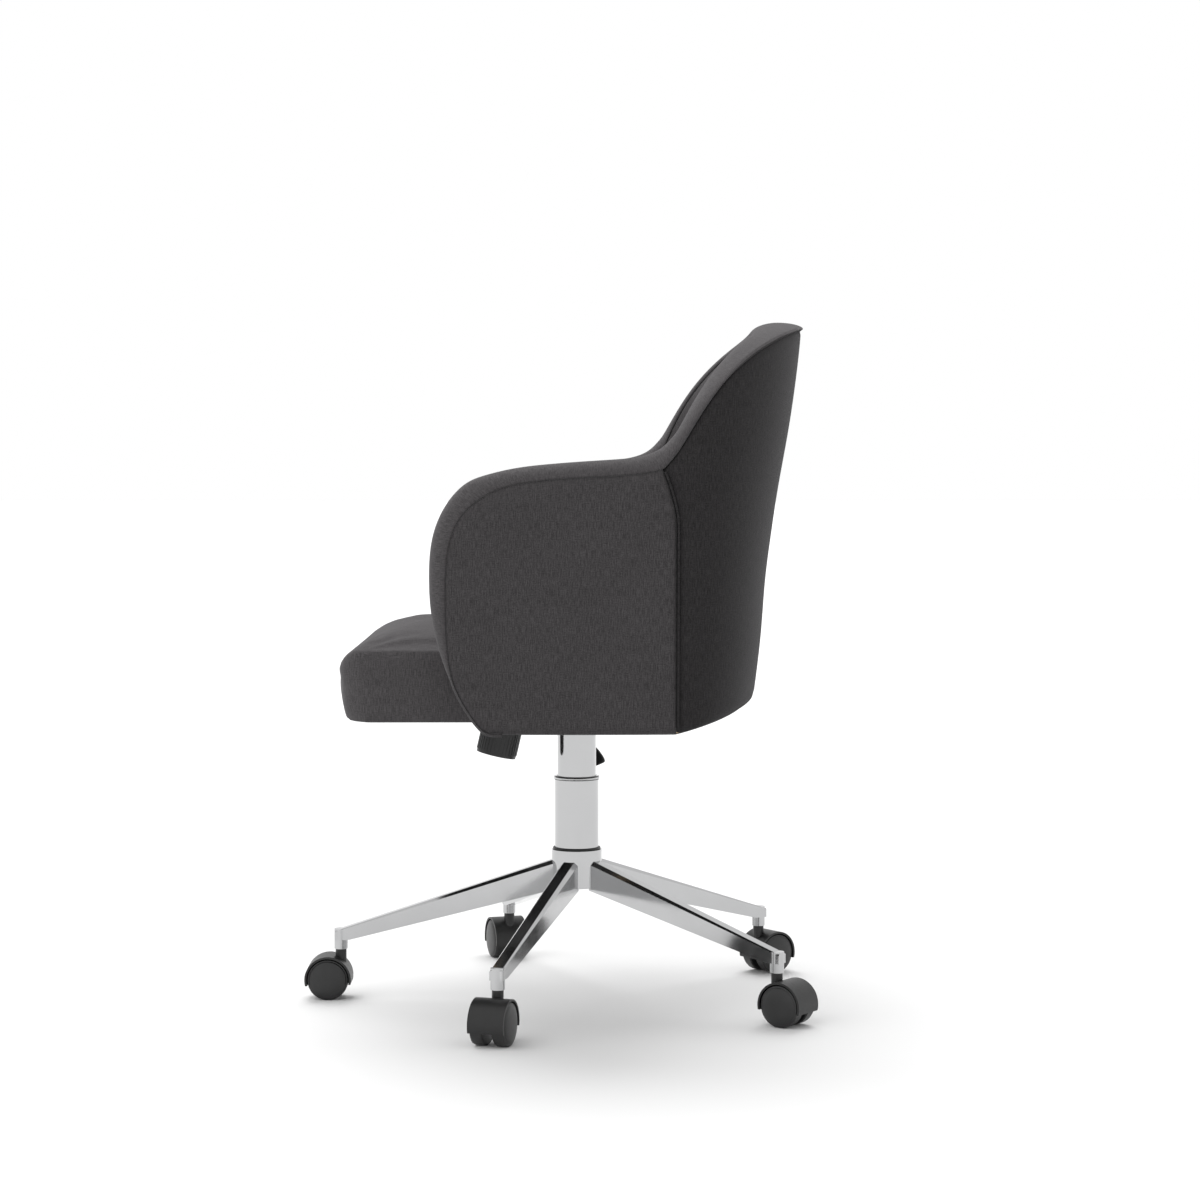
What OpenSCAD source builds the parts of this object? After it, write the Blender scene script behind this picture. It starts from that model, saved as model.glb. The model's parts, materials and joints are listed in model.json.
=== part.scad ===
// Swivel office chair: an upholstered tub seat on a knee-tilt mechanism and a
// height-adjustable column, over a five-legged base with twin-wheel casters.
// Millimetres. The column stands on the origin and the chair faces -Y.

/* [Tub] */
// Width over the arms
shell_w = 600; // [540:5:680]
// Height of the tub's lower edge above the floor
shell_z = 354; // [348:1:362]
// Height of the arm tops
arm_z = 663; // [600:1:720]
// Height where the back starts to rise above the side seams
shoulder_z = 691; // [682:1:740]
// Height of the top of the back
back_z = 828; // [780:1:900]
// How far the front of the arms is ahead of the column
arm_front = 166; // [140:1:200]
// How far the side seams are behind the column
seam_y = 112; // [95:1:130]
// How far the back's lower edge is behind the column
rear_y = 211; // [200:1:240]
// How far the back's lower edge rises from the side seams to its middle
tail_rise = 24; // [0:1:30]
// Lean of the back from upright, in degrees
recline = 7.7; // [4:0.1:10]
// Squareness of the back's plan curve, where 2 is an ellipse
plan_power = 2.2; // [2:0.1:3]
// Thickness of the arms
arm_t = 58; // [50:1:70]
// Thickness of the back at its middle
back_t = 62; // [54:1:72]
// Thickness of the outer upholstery
panel_t = 6; // [4:0.5:10]
// Thickness of the plywood frame in the arms and the back
frame_t = 18; // [12:1:22]
// Width of the edge band seen from the side
band_w = 18; // [12:1:24]
// Width of the edge band over the middle of the back
back_band_w = 14; // [10:1:34]

/* [Seat] */
// Height of the top of the cushion
seat_z = 465; // [450:1:490]
// How far the front of the cushion is ahead of the column
seat_front = 286; // [262:1:300]
// Height of the cushion's lower front edge
seat_low_z = 360; // [355:1:368]
// Height of the underside of the seat board
board_z = 390; // [390:1:394]
// Thickness of the seat board
board_t = 12; // [10:1:15]
// How far the cushion's front corners are behind its middle
seat_bow = 12; // [4:1:20]
// Radius of the cushion's front corners
seat_corner_r = 46; // [36:1:70]
// How far the cushion's top falls towards its sides
crown_h = 26; // [10:1:32]
// Thickness of the cushion's skirt round the board
skirt_t = 22; // [14:1:30]

/* [Mechanism] */
// Length of the mechanism housing
housing_l = 185; // [180:1:190]
// Width of the mechanism housing
housing_w = 100; // [92:1:110]
// Thickness of the housing's steel
housing_t = 3; // [2:0.5:4]
// Distance from the column to the tilt pivot
pivot_y = 125; // [122:1:128]
// Height of the tilt pivot
pivot_z = 362; // [360:0.5:364]
// Diameter of the tilt pivot pin
pivot_d = 10; // [8:0.5:12]
// Thickness of the seat plate
plate_t = 2.5; // [2:0.5:3]
// Thread size of the bolts that hold the seat board
seat_bolt_d = 8; // [6:1:8]
// Diameter of the tension knob
knob_d = 50; // [40:1:56]
// Height of the tension knob
knob_h = 35; // [30:1:36]
// Forward lean of the tension knob's axis, in degrees
knob_lean = 13; // [8:1:15]
// Diameter of the lever's rod
lever_d = 8; // [6:1:8]
// Downward slope of the lever, in degrees
lever_slope = 19.5; // [18:0.5:20]
// Reach of the lever from its pivot
lever_reach = 210; // [180:5:230]

/* [Column] */
// Outside diameter of the pedestal tube
pedestal_d = 54; // [50:1:58]
// Wall of the pedestal tube
pedestal_wall = 2; // [1.5:0.5:2.5]
// Height of the top of the pedestal tube
pedestal_top = 270; // [262:1:274]
// Outside diameter of the upper tube
upper_d = 47.4; // [44:0.2:47.4]
// Outside diameter of the gas cylinder
cylinder_d = 28; // [26:1:30]
// Diameter of the piston rod
rod_d = 10; // [8:1:12]

/* [Base] */
// Radius from the column to the caster stems
stem_r = 290; // [260:5:320]
// Outside diameter of the hub
hub_d = 62; // [60:1:70]
// Height of the hub's underside
hub_z = 138; // [134:1:142]
// Height of the hub
hub_h = 46; // [42:1:52]
// Width of a leg at the hub
leg_w = 22; // [18:1:28]
// Width of a leg at its tip
leg_tip_w = 15.6; // [14:0.2:16]
// Width of the bevel along a leg's top edges
leg_bevel = 4.5; // [3:0.5:5]
// Outside diameter of a caster socket
ferrule_d = 16.5; // [16:0.5:20]

/* [Casters] */
// Diameter of a wheel
wheel_d = 50; // [46:1:52]
// Width of a wheel
wheel_w = 16; // [14:0.5:18]
// Gap between the two wheels of a caster
wheel_gap = 11; // [10.5:0.5:13]
// Distance from the stem's axis to the wheel's axle
trail = 15; // [13:0.5:17]
// Thickness of the hood over the wheels
hood_t = 2.5; // [2:0.5:3]
// Diameter of the stem in its socket
stem_d = 11; // [10:0.5:11]
// Diameter of the axle
axle_d = 6; // [5:0.5:7]

/* [Hidden] */
$fn = 48;
CASTERS = [1, 2, 3, 4, 5];
caster_names = [for (i = CASTERS) for (p = ["hood", "pins", "wheel_left", "wheel_right"])
    str("caster_", i, "_", p)];
eps = 0.01;
run = 0.05;
gap = 0.5;

// Colours
fabric_outer = "#454345";
fabric_inner = "#5a585a";
plywood = "#c8a878";
chrome = "#c9ccd0";
steel = "#8f9398";
black = "#2b2b2c";

// Tub
half_w = shell_w / 2;
nose_z = arm_z - 130;
board_top = board_z + board_t;
board_fit = 0.3;
seat_flat = 120;
layer_gap = 0.4;
seam_gap = 2.6;
shell_steps = 24;

// Mechanism
plate_under = board_z - plate_t;
floor_z = 331;
nose_floor_z = 345;
socket_h = 15;
lever_room = 6;
housing_front = -pivot_y - 10;
housing_back = housing_front + housing_l;
plate_half_w = 80;
plate_back = 75;
bolt_x = 68;
bolt_front_y = -70;
bolt_back_y = 55;
flange_gap = 12;
flange_t = 3;
knob_low = [0, -99, 300];
knob_ribs = 36;
lever_pivot_x = -(housing_w / 2 + 2);
lever_pivot_z = 334;
lever_in = 62;
sleeve_d = 14;
paddle_t = lever_d + 2;

// Column
upper_low_z = 190;
upper_wall = 2;
pedestal_plate_z = hub_z + 4;
plate_ring_t = 3;
bearing_h = 6;
cylinder_low_z = 192;
cylinder_top_z = floor_z + 6;
cavity_top_z = 328;
valve_depth = 8;
pin_top_z = 346.9;
pin_low_z = 334.5;
bush_low_z = pedestal_top - 45;
bush_lip = 4;

// Base
leg_top_slope = 0.328;
leg_top_z = 171;
leg_low_z = 134.5;
leg_in_r = hub_d / 2 - 1;
leg_out_r = stem_r + 7;
ferrule_low_z = wheel_d + 11;
ferrule_top_z = leg_top_z - leg_top_slope * (stem_r - leg_in_r);
sleeve_wall = 1.2;

// Casters
wheel_r = wheel_d / 2;
hood_in_r = wheel_r + 1;
hood_out_r = hood_in_r + hood_t;
web_t = wheel_gap - 2 * gap;
caster_w = 2 * wheel_w + wheel_gap;
neck_d = 13.5;
pin_d = 8;
stem_step_z = ferrule_low_z - 0.4;

function lerp(a, b, k) = a + (b - a) * k;

// Points of one cubic curve through control points a, b, c and d, without its start
function curve(a, b, c, d, n = 8) = [for (i = [1:n]) let (k = i / n, m = 1 - k)
    m * m * m * a + 3 * m * m * k * b + 3 * m * k * k * c + k * k * k * d];

// ---- tub: arms ----------------------------------------------------------------

// Edge of an arm seen from its side, from the lower front up, over the nose and
// back to the side seam; d is how far inside the outer edge the line runs.
function arm_edge(d) = let (f = -arm_front + d, z = arm_z - d * 0.95, b = d / band_w)
    concat(
        [[-113 + 6 * b, shell_z + 6 + 6 * b]],
        curve([-113 + 6 * b, shell_z + 6 + 6 * b], [-135 + b, shell_z + 36 + 5 * b],
              [f, shell_z + 96], [f, nose_z]),
        curve([f, nose_z], [f, nose_z + 70 - 12 * b], [f + 36 - 8 * b, z - 22],
              [-78 + 4 * b, z - 14]),
        curve([-78 + 4 * b, z - 14], [-40 + 4 * b, z - 6], [20, z - 1], [70 - 4 * b, z]),
        curve([70 - 4 * b, z], [88, z + 3], [100 + 2 * b, lerp(shoulder_z - 14, z + 12, b)],
              [seam_y, lerp(shoulder_z, shoulder_z - band_drop(0), b)]));

// The area inside an arm's edge, down to the level low_z
module arm_outline(d) {
    edge = arm_edge(d);
    polygon(concat([[seam_y, shell_z], [-98, shell_z]], edge));
}

// A slab of the right arm between two distances from its outer face
module arm_slab(out, in) {
    translate([half_w - in, 0, 0])
        rotate([90, 0, 90])
            linear_extrude(in - out)
                children();
}

module each_side(side) {
    mirror([side == "right" ? 1 : 0, 0, 0]) children();
}

module arm_panel(side) {
    color(fabric_outer)
        each_side(side) arm_slab(0, panel_t) arm_outline(band_w);
}

module arm_frame(side) {
    color(plywood)
        difference() {
            each_side(side) arm_slab(panel_t, panel_t + frame_t) arm_outline(band_w);
            screw_shapes();
        }
}

module arm_pad(side) {
    color(fabric_inner)
        each_side(side)
            difference() {
                arm_slab(panel_t + frame_t, arm_t) arm_outline(band_w);
                translate([0, -seat_front, shell_z - 1])
                    cube([half_w, 2 * seat_front, board_top - shell_z + 1]);
            }
}

module arm_band(side) {
    color(fabric_inner)
        each_side(side)
            arm_slab(0, arm_t)
                difference() {
                    arm_outline(0);
                    union() {
                        arm_outline(band_w);
                        translate([-98, shell_z - eps])
                            square([seam_y + 98, 40]);
                    }
                }
}

// ---- tub: back ----------------------------------------------------------------

// Distance of the back's outer face behind the column at height z
function rear_at(z) = rear_y + (z - shell_z) * tan(recline);

// Top of the back, where angle a runs from one side seam (0) to the other (180)
function top_at(a) = let (k = 1 - abs(a - 90) / 90)
    shoulder_z + (back_z - shoulder_z) * (1 - pow(1 - k, 3.1 - 1.6 * k));

// Foot of the back, rising from the side seams to the middle
function low_at(a) = shell_z + tail_rise * pow(abs(sin(a)), 2 / plan_power);

// Height of the edge band measured down from the top of the back
function band_drop(a) = let (k = 1 - abs(a - 90) / 90)
    lerp(24, back_band_w, min(1, 2 * k));

// Thickness of the tub's wall
function wall_at(a) = lerp(arm_t, back_t, sin(a));

// A point of the wall at depth d inside its outer face
function wall_point(a, z, d) = let (c = cos(a), p = 2 / plan_power)
    [(half_w - d) * sign(c) * pow(abs(c), p),
     seam_y + (rear_at(z) - seam_y - d) * pow(abs(sin(a)), p), z];

// Angles of the wall's sections, closer together near the side seams
function wall_angle(i, n) = let (k = 2 * i / n - 1)
    90 + 90 * sign(k) * pow(abs(k), 0.8);

// A closed piece of the curved wall between two depths and two heights, each a
// function of the angle
module wall_piece(out, in, low, high, rows = 6) {
    n = shell_steps;
    m = rows + 1;
    face = [for (side = [out, in]) for (i = [0:n]) for (j = [0:rows])
        let (a = wall_angle(i, n), z = lerp(low(a), high(a), j / rows))
        wall_point(a, z, side(a))];
    half = (n + 1) * m;
    quads = concat(
        [for (i = [0:n - 1]) for (j = [0:rows - 1])
            [i * m + j, i * m + j + 1, (i + 1) * m + j + 1, (i + 1) * m + j]],
        [for (i = [0:n - 1]) for (j = [0:rows - 1])
            [half + i * m + j, half + (i + 1) * m + j, half + (i + 1) * m + j + 1,
             half + i * m + j + 1]],
        [for (i = [0:n - 1]) for (e = [0, rows]) let (a = i * m + e, b = a + m)
            e == 0 ? [a, b, half + b, half + a] : [a, half + a, half + b, b]],
        [for (i = [0, n]) for (j = [0:rows - 1]) let (a = i * m + j, b = a + 1)
            i == 0 ? [a, half + a, half + b, b] : [a, b, half + b, half + a]]);
    faces = [for (q = quads) for (t = [[q[0], q[1], q[2]], [q[0], q[2], q[3]]]) t];
    polyhedron(face, faces);
}

module back_panel() {
    color(fabric_outer)
        wall_piece(function(a) 0, function(a) panel_t,
                   function(a) low_at(a), function(a) top_at(a) - band_drop(a) - seam_gap);
}

module back_frame() {
    color(plywood)
        wall_piece(function(a) panel_t + layer_gap, function(a) panel_t + frame_t,
                   function(a) low_at(a), function(a) top_at(a) - band_drop(a) - seam_gap);
}

module back_pad() {
    color(fabric_inner)
        wall_piece(function(a) panel_t + frame_t + layer_gap, function(a) wall_at(a),
                   function(a) board_top, function(a) top_at(a) - band_drop(a) - seam_gap);
}

module back_band() {
    color(fabric_inner)
        wall_piece(function(a) 0, function(a) wall_at(a),
                   function(a) top_at(a) - band_drop(a), function(a) top_at(a), 2);
}

// ---- seat ---------------------------------------------------------------------

// Plan of the space inside the tub at depth d from its outer face and height z
module tub_plan(d, z, front) {
    polygon(concat(
        [[half_w - d, -front]],
        [for (i = [0:shell_steps]) let (q = wall_point(wall_angle(i, shell_steps), z, d))
            [q[0], q[1]]],
        [[-(half_w - d), -front]]));
}

// Plan of the cushion with its bowed front and rounded corners, drawn in by inset
module seat_plan(inset) {
    w = half_w - arm_t - board_fit - inset;
    corner = seat_corner_r - inset;
    hull() {
        translate([-seat_flat / 2, -seat_front - 2 + inset])
            square([seat_flat, 10]);
        for (side = [-1, 1])
            translate([side * (w - corner), -seat_front + seat_bow + inset + corner])
                circle(corner);
        translate([-w, 0])
            square([2 * w, seat_front]);
    }
}

module cushion_side() {
    front = -seat_front;
    knee_z = seat_z - 58;
    polygon(concat(
        [[front + 8, seat_low_z]],
        curve([front + 8, seat_low_z], [front, seat_low_z + 15], [front - 2, knee_z - 12],
              [front + 2, knee_z]),
        curve([front + 2, knee_z], [front + 14, knee_z + 25], [front + 50, seat_z - 2],
              [front + 96, seat_z]),
        [[rear_y, seat_z], [rear_y, seat_low_z]]));
}

module cushion_section() {
    w = half_w - arm_t - board_fit;
    polygon(concat(
        [[-w, seat_low_z], [-w, seat_z - crown_h]],
        [for (i = [1:11]) let (k = i / 6 - 1)
            [w * k, seat_z - crown_h * pow(abs(k), 3.2)]],
        [[w, seat_z - crown_h], [w, seat_low_z]]));
}

module seat_cushion() {
    inner = half_w - arm_t - board_fit;
    color(fabric_inner)
        difference() {
            intersection() {
                rotate([90, 0, 90])
                    linear_extrude(2 * inner, center = true)
                        cushion_side();
                rotate([90, 0, 0])
                    linear_extrude(4 * seat_front, center = true)
                        cushion_section();
                translate([0, 0, seat_low_z - 1])
                    linear_extrude(seat_z - seat_low_z + 2)
                        intersection() {
                            tub_plan(back_t + board_fit, board_top, seat_front + 10);
                            seat_plan(0);
                        }
            }
            translate([0, 0, seat_low_z - 1])
                linear_extrude(board_top - seat_low_z + 1)
                    seat_plan(skirt_t);
            translate([-half_w, -arm_front + 58, seat_low_z - 1])
                cube([shell_w, 2 * seat_front, board_top - seat_low_z + 1]);
        }
}

// Outline of the board: narrow inside the cushion's skirt, wide between the frames
module board_outline(trim) {
    intersection() {
        tub_plan(panel_t + frame_t + board_fit + trim, board_z - 4, seat_front);
        union() {
            seat_plan(skirt_t + trim);
            translate([-half_w, -arm_front + 60])
                square([shell_w, 2 * seat_front]);
        }
    }
}

module at_seat_bolts() {
    for (x = [-bolt_x, bolt_x], y = [bolt_front_y, bolt_back_y])
        translate([x, y, 0]) children();
}

module screw_shapes() {
    for (side = [-1, 1], y = [-60, 20, 90])
        translate([side * (half_w - panel_t), y, board_z + board_t / 2])
            rotate([0, -90 * side, 0])
                union() {
                    cylinder(d = 4, h = 60);
                    cylinder(d = 8, h = 4);
                }
}

module seat_board() {
    color(plywood)
        difference() {
            translate([0, 0, board_z])
                linear_extrude(board_t)
                    board_outline(board_fit);
            at_seat_bolts()
                union() {
                    translate([0, 0, board_z - 1])
                        cylinder(d = seat_bolt_d + 2, h = board_t + 2);
                    translate([0, 0, board_top - 1.5])
                        cylinder(d = 20, h = 2);
                }
            screw_shapes();
        }
}

module dust_cover() {
    color(black)
        translate([0, 0, board_z - 1])
            linear_extrude(1)
                difference() {
                    board_outline(3);
                    translate([-plate_half_w - 4, -pivot_y - 24])
                        square([2 * plate_half_w + 8, pivot_y + plate_back + 28]);
                }
}

module frame_screws() {
    color(steel) screw_shapes();
}

module tee_nuts() {
    color(steel)
        at_seat_bolts()
            difference() {
                union() {
                    translate([0, 0, board_z + 1])
                        cylinder(d = seat_bolt_d + 2, h = board_t - 1);
                    translate([0, 0, board_top - 1.5])
                        cylinder(d = 20, h = 1.5);
                }
                translate([0, 0, board_z - 1])
                    cylinder(d = seat_bolt_d, h = board_t + 2);
            }
}

module seat_bolts() {
    color(steel)
        at_seat_bolts()
            union() {
                translate([0, 0, plate_under])
                    cylinder(d = seat_bolt_d, h = board_top - plate_under - 1);
                translate([0, 0, plate_under - 5])
                    cylinder(d = 13, h = 5, $fn = 6);
            }
}

// ---- mechanism ----------------------------------------------------------------

module seat_plate() {
    flange_x = housing_w / 2 + flange_gap;
    color(black)
        difference() {
            union() {
                translate([-plate_half_w, housing_front - 10, plate_under])
                    cube([2 * plate_half_w, plate_back - housing_front + 10, plate_t]);
                for (side = [-1, 1])
                    translate([side > 0 ? flange_x : -flange_x - flange_t,
                               -pivot_y - 15, pivot_z - 12])
                        cube([flange_t, 35, plate_under - pivot_z + 12 + eps]);
            }
            translate([0, -pivot_y, pivot_z])
                rotate([0, 90, 0])
                    cylinder(d = pivot_d, h = 3 * plate_half_w, center = true);
            at_seat_bolts()
                translate([0, 0, plate_under - 1])
                    cylinder(d = seat_bolt_d + 0.6, h = plate_t + 2);
        }
}

module pivot_pin() {
    flange_x = housing_w / 2 + flange_gap + flange_t;
    color(steel)
        translate([0, -pivot_y, pivot_z])
            rotate([0, 90, 0])
                union() {
                    cylinder(d = pivot_d, h = 2 * flange_x + 6, center = true);
                    for (side = [-1, 1])
                        translate([0, 0, side * (flange_x + 1.5)])
                            cylinder(d = pivot_d + 5, h = 3, center = true);
                }
}

// Places its children on the tension bolt's axis, +Z up the bolt
module on_knob_axis() {
    translate(knob_low) rotate([-knob_lean, 0, 0]) children();
}

// Places its children on the lever's axis, +Z out along the lever
module on_lever_axis() {
    translate([lever_pivot_x, 0, lever_pivot_z])
        rotate([0, -90 - lever_slope, 0]) children();
}

module housing_side() {
    polygon([[housing_front, nose_floor_z], [-62, nose_floor_z], [-50, floor_z],
             [housing_back, floor_z], [housing_back, floor_z + 14],
             [housing_front + 22, pivot_z + 14], [housing_front, pivot_z + 12]]);
}

module housing_floor() {
    t = housing_t;
    polygon([[housing_front, nose_floor_z], [-62, nose_floor_z], [-50, floor_z],
             [housing_back, floor_z], [housing_back, floor_z + t],
             [-48.5, floor_z + t], [-60.5, nose_floor_z + t],
             [housing_front, nose_floor_z + t]]);
}

module mechanism_housing() {
    w = housing_w;
    color(black)
        difference() {
            union() {
                for (x = [-w / 2, w / 2 - housing_t])
                    translate([x, 0, 0])
                        rotate([90, 0, 90]) linear_extrude(housing_t) housing_side();
                rotate([90, 0, 90])
                    linear_extrude(w, center = true) housing_floor();
                translate([0, 0, floor_z])
                    cylinder(d = cylinder_d + 14, h = socket_h);
                for (y = [-sleeve_d / 2 - 5, sleeve_d / 2 + 1])
                    translate([lever_pivot_x - 6, y, floor_z - 6])
                        cube([8, 4, 18]);
            }
            translate([0, 0, floor_z - 1])
                cylinder(d = cylinder_d, h = 40);
            translate([0, -pivot_y, pivot_z])
                rotate([0, 90, 0])
                    cylinder(d = pivot_d + 2 * run, h = 2 * w, center = true);
            on_knob_axis() cylinder(d = 9, h = 80);
            on_lever_axis()
                translate([0, 0, -20]) cylinder(d = sleeve_d + 2, h = 34);
            translate([-w / 2 + housing_t, -lever_room, cylinder_top_z])
                cube([w / 2 + 20, 2 * lever_room, 40]);
            translate([lever_pivot_x, 0, lever_pivot_z])
                rotate([90, 0, 0])
                    cylinder(d = 5 + 2 * run, h = 60, center = true);
        }
}

module tension_knob() {
    color(black)
        on_knob_axis()
            difference() {
                union() {
                    cylinder(d = knob_d - 1.6, h = knob_h);
                    translate([0, 0, 3])
                        cylinder(d = knob_d - 0.8, h = knob_h - 3);
                    for (i = [0:knob_ribs - 1])
                        rotate(i * 360 / knob_ribs)
                            translate([knob_d / 2 - 1.6, -0.8, 4])
                                cube([1.6, 1.6, knob_h - 5]);
                }
                translate([0, 0, 8])
                    cylinder(d = 8, h = knob_h);
            }
}

module tension_bolt() {
    color(steel)
        on_knob_axis()
            translate([0, 0, 8])
                cylinder(d = 8, h = 62);
}

module tension_nut() {
    color(steel)
        on_knob_axis()
            translate([0, 0, 52])
                difference() {
                    cylinder(d = 24, h = 7);
                    translate([0, 0, -1])
                        cylinder(d = 8 + 2 * run, h = 10);
                }
}

// Coil spring: a round wire swept along a helix
module tension_spring() {
    wire_r = 1.6;
    coil_r = 9.5;
    turns = 4;
    rings = 72;
    pitch = 4;
    sides = 8;
    points = [for (i = [0:rings]) for (s = [0:sides - 1])
        let (a = 360 * turns * i / rings, b = 360 * s / sides)
        [(coil_r + wire_r * cos(b)) * cos(a), (coil_r + wire_r * cos(b)) * sin(a),
         pitch * turns * i / rings + wire_r * sin(b)]];
    walls = [for (i = [0:rings - 1]) for (s = [0:sides - 1])
        let (p = i * sides + s, q = i * sides + (s + 1) % sides)
        for (t = [[p, p + sides, q + sides], [p, q + sides, q]]) t];
    ends = [[for (s = [0:sides - 1]) s],
            [for (s = [sides - 1:-1:0]) rings * sides + s]];
    color(steel)
        on_knob_axis()
            translate([0, 0, 59 + wire_r])
                polyhedron(points, concat(walls, ends));
}

module lever_sleeve() {
    color(black)
        difference() {
            union() {
                on_lever_axis()
                    translate([0, 0, -7]) cylinder(d = sleeve_d, h = 14);
                translate([lever_pivot_x, 0, lever_pivot_z])
                    rotate([90, 0, 0])
                        cylinder(d = 5, h = sleeve_d + 10, center = true);
            }
            on_lever_axis()
                translate([0, 0, -20]) cylinder(d = lever_d + 2 * run, h = 40);
        }
}

module lever_rod() {
    color(steel)
        on_lever_axis()
            translate([0, 0, -lever_in])
                cylinder(d = lever_d, h = lever_in + lever_reach - 25);
}

module lever_paddle() {
    color(black)
        on_lever_axis()
            difference() {
                translate([-paddle_t / 2, -14, lever_reach - 60])
                    rotate([90, 0, 90])
                        linear_extrude(paddle_t)
                            polygon(concat(
                                [[6, 0], [22, 0]],
                                curve([22, 0], [40, 6], [52, 30], [52, 46]),
                                curve([52, 46], [52, 58], [44, 62], [28, 62]),
                                curve([28, 62], [8, 62], [0, 58], [0, 44]),
                                curve([0, 44], [0, 30], [2, 12], [6, 0])));
                translate([0, 0, -lever_in])
                    cylinder(d = lever_d, h = lever_in + lever_reach - 25);
            }
}

// ---- column -------------------------------------------------------------------

module upper_tube() {
    color(chrome)
        translate([0, 0, upper_low_z])
            difference() {
                cylinder(d = upper_d, h = floor_z - upper_low_z);
                translate([0, 0, -1])
                    cylinder(d = upper_d - 2 * upper_wall, h = floor_z);
            }
}

module gas_cylinder() {
    low = cylinder_low_z;
    color(black)
        difference() {
            translate([0, 0, low])
                cylinder(d = cylinder_d, h = cylinder_top_z - low);
            translate([0, 0, low - 1])
                cylinder(d = rod_d + 2 * run, h = 20);
            translate([0, 0, low + 10])
                cylinder(d = cylinder_d - 4, h = cavity_top_z - low - 10);
            translate([0, 0, cylinder_top_z - valve_depth])
                cylinder(d = 6 + 2 * run, h = 2 * valve_depth);
        }
}

module release_pin() {
    color(steel)
        translate([0, 0, pin_low_z])
            cylinder(d = 6, h = pin_top_z - pin_low_z);
}

module piston_rod() {
    low = hub_z + 0.5;
    color(steel)
        union() {
            translate([0, 0, low])
                cylinder(d = rod_d, h = 290 - low);
            translate([0, 0, 282])
                cylinder(d = cylinder_d - 4.4, h = 8);
            translate([0, 0, pedestal_plate_z + plate_ring_t + bearing_h])
                cylinder(d = rod_d + 6, h = 3);
        }
}

module rod_clip() {
    color(steel)
        translate([0, 0, hub_z + 0.5])
            difference() {
                cylinder(d = 18, h = 3);
                translate([0, 0, -1])
                    cylinder(d = rod_d, h = 5);
            }
}

module thrust_bearing() {
    color(steel)
        translate([0, 0, pedestal_plate_z + plate_ring_t])
            difference() {
                cylinder(d = 24, h = bearing_h);
                translate([0, 0, -1])
                    cylinder(d = rod_d + 2 * run, h = bearing_h + 2);
            }
}

module pedestal_tube() {
    color(chrome)
        difference() {
            translate([0, 0, hub_z + 1])
                cylinder(d = pedestal_d, h = pedestal_top - hub_z - 1);
            translate([0, 0, pedestal_plate_z + plate_ring_t])
                cylinder(d = pedestal_d - 2 * pedestal_wall, h = pedestal_top);
            translate([0, 0, hub_z])
                cylinder(d = pedestal_d - 2 * pedestal_wall, h = pedestal_plate_z - hub_z);
            translate([0, 0, hub_z])
                cylinder(d = rod_d + 1, h = 20);
        }
}

module guide_bush() {
    color(black)
        difference() {
            union() {
                translate([0, 0, bush_low_z])
                    cylinder(d = pedestal_d - 2 * pedestal_wall,
                             h = pedestal_top - bush_low_z);
                translate([0, 0, pedestal_top])
                    cylinder(d = pedestal_d + 1, h = bush_lip);
            }
            translate([0, 0, bush_low_z - 1])
                cylinder(d = upper_d + 2 * run, h = 80);
        }
}

// ---- base ---------------------------------------------------------------------

// Places its children at each leg, +X out along the leg, one leg to the front
module at_legs() {
    for (i = CASTERS)
        rotate(-90 + 72 * (i - 1)) children();
}

module leg() {
    h0 = 48;
    intersection() {
        rotate([90, 0, 0])
            linear_extrude(2 * leg_w, center = true)
                polygon([[leg_in_r - 4, leg_top_z + 4 * leg_top_slope],
                         [leg_out_r, leg_top_z - leg_top_slope * (leg_out_r - leg_in_r)],
                         [leg_out_r, ferrule_low_z + 11],
                         [stem_r - 11, ferrule_low_z + 11.6],
                         [leg_in_r - 4, leg_low_z + 1]]);
        linear_extrude(300)
            polygon([[leg_in_r - 4, -leg_w / 2], [leg_out_r, -leg_tip_w / 2],
                     [leg_out_r, leg_tip_w / 2], [leg_in_r - 4, leg_w / 2]]);
        translate([leg_in_r, 0, leg_top_z])
            rotate([0, atan(leg_top_slope), 0])
                translate([-20, 0, 0])
                    rotate([90, 0, 90])
                        linear_extrude(stem_r + 60)
                            polygon([[-leg_w / 2, -h0], [leg_w / 2, -h0],
                                     [leg_w / 2, -leg_bevel], [leg_w / 2 - leg_bevel, 0],
                                     [leg_bevel - leg_w / 2, 0], [-leg_w / 2, -leg_bevel]]);
    }
}

module star_base() {
    color(chrome)
        difference() {
            union() {
                translate([0, 0, hub_z])
                    cylinder(d = hub_d, h = hub_h);
                at_legs() leg();
                at_legs()
                    translate([stem_r, 0, ferrule_low_z])
                        cylinder(d = ferrule_d, h = ferrule_top_z - ferrule_low_z);
            }
            translate([0, 0, hub_z + 1])
                cylinder(d = pedestal_d, h = 2 * hub_h);
            translate([0, 0, hub_z - 1])
                cylinder(d = pedestal_d - 2 * pedestal_wall - 2, h = 2 * hub_h);
            at_legs()
                translate([stem_r, 0, ferrule_low_z - 1])
                    cylinder(d = stem_d + 2 * sleeve_wall + 2 * run,
                             h = ferrule_top_z - ferrule_low_z - 1);
        }
}

module caster_sockets() {
    color(black)
        at_legs()
            translate([stem_r, 0, ferrule_low_z])
                difference() {
                    cylinder(d = stem_d + 2 * sleeve_wall + 2 * run,
                             h = ferrule_top_z - ferrule_low_z - 2);
                    translate([0, 0, -1])
                        cylinder(d = stem_d + 2 * run,
                                 h = ferrule_top_z - ferrule_low_z - 2);
                }
}

// ---- casters ------------------------------------------------------------------

// Places its children at one caster's stem on the floor, +X out along its leg
module at_caster(i) {
    rotate(-90 + 72 * (i - 1)) translate([stem_r, 0, 0]) children();
}

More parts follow.
